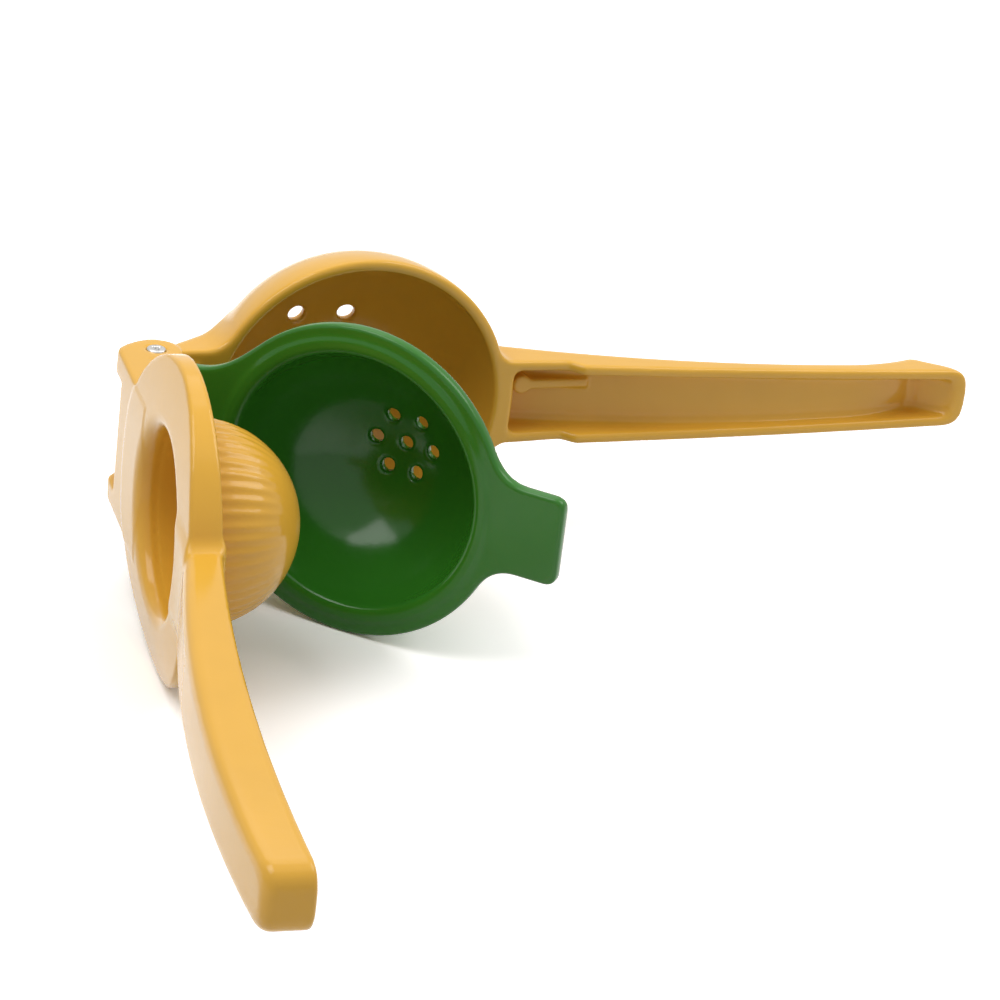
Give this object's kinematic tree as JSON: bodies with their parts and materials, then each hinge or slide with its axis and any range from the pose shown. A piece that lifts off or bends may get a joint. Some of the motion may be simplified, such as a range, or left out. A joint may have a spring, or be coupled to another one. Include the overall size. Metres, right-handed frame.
{
  "type": "hinged citrus squeezer",
  "caption": "Hand-held hinged citrus squeezer with nested perforated bowl and cup, a fluted pressing dome and long handles on one pin.",
  "frame": {"origin": "under the middle of the open tool, on the surface it lies on, with the hinge pin upright", "axes": "+Z along the hinge pin, +X along the bowl lever from the pin to its handle's tip"},
  "size_m": [0.2514, 0.26, 0.0768],
  "materials": {
    "yellow_enamel": "gloss enamel on a casting",
    "green_enamel": "gloss enamel on a casting",
    "yellow_enamel_press": "gloss enamel on a casting",
    "pin_steel": "bright"
  },
  "bodies": {
    "bowl_lever": {"bowl_lever": "yellow_enamel"},
    "lime_cup": {"lime_cup": "green_enamel"},
    "press_lever": {"press_lever": "yellow_enamel_press", "hinge_pin": "pin_steel"}
  },
  "joints": [
    {"name": "cup_hinge", "type": "hinge", "parent": "bowl_lever", "child": "lime_cup", "pos_m": [-0.09034, 0.0868, 0.0384], "axis": [0, 0, -1], "range_deg": [-44.9, 24]},
    {"name": "press_hinge", "type": "hinge", "parent": "lime_cup", "child": "press_lever", "pos_m": [-0.09034, 0.0868, 0.0384], "axis": [0, 0, -1], "range_deg": [-48.9, 20]}
  ]
}
